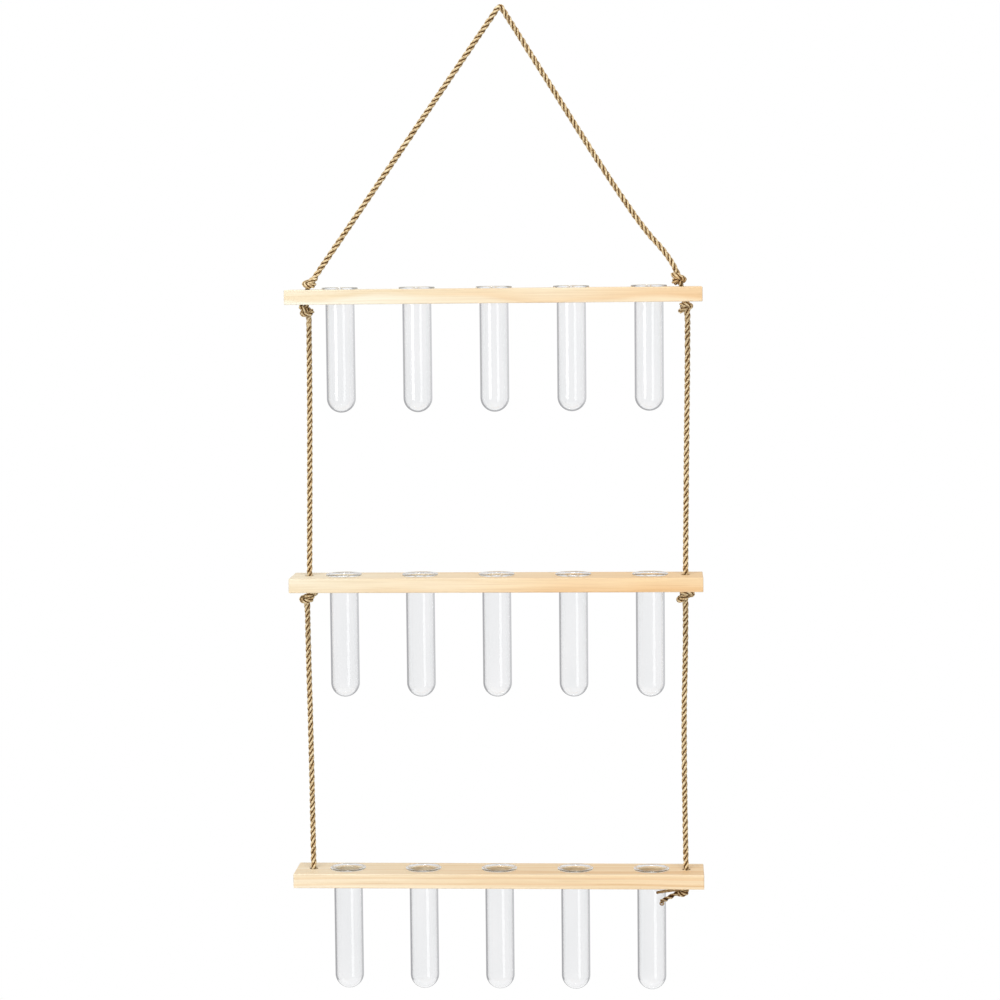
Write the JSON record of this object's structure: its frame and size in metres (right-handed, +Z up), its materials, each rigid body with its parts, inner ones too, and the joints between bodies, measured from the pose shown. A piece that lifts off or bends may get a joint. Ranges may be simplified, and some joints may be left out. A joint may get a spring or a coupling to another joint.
{
  "type": "hanging propagation vase",
  "caption": "Hanging vase for plant cuttings: pale wooden shelves on a knotted jute rope, each holding a row of round-bottomed glass tubes that lift out.",
  "frame": {"origin": "axis of the hook, inside the bend at the top of the rope", "axes": "+Z up, +X to the right along the shelves and +Y to the back, as seen from the front"},
  "size_m": [0.4, 0.052, 0.9555],
  "materials": {
    "pine": "satin",
    "clear_glass": "gloss",
    "jute": "matte"
  },
  "bodies": {
    "hook_bend": {"hanging_bend": "jute"},
    "top_tier": {"rope_leg_left": "jute", "rope_leg_right": "jute", "knot_above_top_left": "jute", "knot_above_top_right": "jute", "shelf_top": "pine", "knot_below_top_left": "jute", "knot_below_top_right": "jute"},
    "middle_tier": {"rope_top_to_middle_left": "jute", "rope_top_to_middle_right": "jute", "shelf_middle": "pine", "knot_below_middle_left": "jute", "knot_below_middle_right": "jute"},
    "bottom_tier": {"rope_middle_to_bottom_left": "jute", "rope_middle_to_bottom_right": "jute", "shelf_bottom": "pine", "knot_below_bottom_left": "jute", "knot_below_bottom_right": "jute", "rope_tail_right": "jute", "rope_strand_right": "jute"},
    "tube_top_1_body": {"tube_top_1": "clear_glass"},
    "tube_top_2_body": {"tube_top_2": "clear_glass"},
    "tube_top_3_body": {"tube_top_3": "clear_glass"},
    "tube_top_4_body": {"tube_top_4": "clear_glass"},
    "tube_top_5_body": {"tube_top_5": "clear_glass"},
    "tube_middle_1_body": {"tube_middle_1": "clear_glass"},
    "tube_middle_2_body": {"tube_middle_2": "clear_glass"},
    "tube_middle_3_body": {"tube_middle_3": "clear_glass"},
    "tube_middle_4_body": {"tube_middle_4": "clear_glass"},
    "tube_middle_5_body": {"tube_middle_5": "clear_glass"},
    "tube_bottom_1_body": {"tube_bottom_1": "clear_glass"},
    "tube_bottom_2_body": {"tube_bottom_2": "clear_glass"},
    "tube_bottom_3_body": {"tube_bottom_3": "clear_glass"},
    "tube_bottom_4_body": {"tube_bottom_4": "clear_glass"},
    "tube_bottom_5_body": {"tube_bottom_5": "clear_glass"}
  },
  "joints": [
    {"name": "top_tier_swing", "type": "hinge", "parent": "hook_bend", "child": "top_tier", "pos_m": [-0.009, 0, -0.0035], "axis": [1, 0, 0], "range_deg": [-20, 20]},
    {"name": "middle_tier_swing", "type": "hinge", "parent": "top_tier", "child": "middle_tier", "pos_m": [-0.009, 0, -0.28999], "axis": [1, 0, 0], "range_deg": [-20, 20]},
    {"name": "bottom_tier_swing", "type": "hinge", "parent": "middle_tier", "child": "bottom_tier", "pos_m": [-0.009, 0, -0.56799], "axis": [1, 0, 0], "range_deg": [-20, 20]},
    {"name": "tube_top_1_lift", "type": "slide", "parent": "top_tier", "child": "tube_top_1_body", "axis": [0, 0, 1], "range_m": [0, 0.014]},
    {"name": "tube_top_2_lift", "type": "slide", "parent": "top_tier", "child": "tube_top_2_body", "axis": [0, 0, 1], "range_m": [0, 0.119]},
    {"name": "tube_top_3_lift", "type": "slide", "parent": "top_tier", "child": "tube_top_3_body", "axis": [0, 0, 1], "range_m": [0, 0.119]},
    {"name": "tube_top_4_lift", "type": "slide", "parent": "top_tier", "child": "tube_top_4_body", "axis": [0, 0, 1], "range_m": [0, 0.119]},
    {"name": "tube_top_5_lift", "type": "slide", "parent": "top_tier", "child": "tube_top_5_body", "axis": [0, 0, 1], "range_m": [0, 0.014]},
    {"name": "tube_middle_1_lift", "type": "slide", "parent": "middle_tier", "child": "tube_middle_1_body", "axis": [0, 0, 1], "range_m": [0, 0.119]},
    {"name": "tube_middle_2_lift", "type": "slide", "parent": "middle_tier", "child": "tube_middle_2_body", "axis": [0, 0, 1], "range_m": [0, 0.119]},
    {"name": "tube_middle_3_lift", "type": "slide", "parent": "middle_tier", "child": "tube_middle_3_body", "axis": [0, 0, 1], "range_m": [0, 0.119]},
    {"name": "tube_middle_4_lift", "type": "slide", "parent": "middle_tier", "child": "tube_middle_4_body", "axis": [0, 0, 1], "range_m": [0, 0.119]},
    {"name": "tube_middle_5_lift", "type": "slide", "parent": "middle_tier", "child": "tube_middle_5_body", "axis": [0, 0, 1], "range_m": [0, 0.119]},
    {"name": "tube_bottom_1_lift", "type": "slide", "parent": "bottom_tier", "child": "tube_bottom_1_body", "axis": [0, 0, 1], "range_m": [0, 0.119]},
    {"name": "tube_bottom_2_lift", "type": "slide", "parent": "bottom_tier", "child": "tube_bottom_2_body", "axis": [0, 0, 1], "range_m": [0, 0.119]},
    {"name": "tube_bottom_3_lift", "type": "slide", "parent": "bottom_tier", "child": "tube_bottom_3_body", "axis": [0, 0, 1], "range_m": [0, 0.119]},
    {"name": "tube_bottom_4_lift", "type": "slide", "parent": "bottom_tier", "child": "tube_bottom_4_body", "axis": [0, 0, 1], "range_m": [0, 0.119]},
    {"name": "tube_bottom_5_lift", "type": "slide", "parent": "bottom_tier", "child": "tube_bottom_5_body", "axis": [0, 0, 1], "range_m": [0, 0.119]}
  ]
}
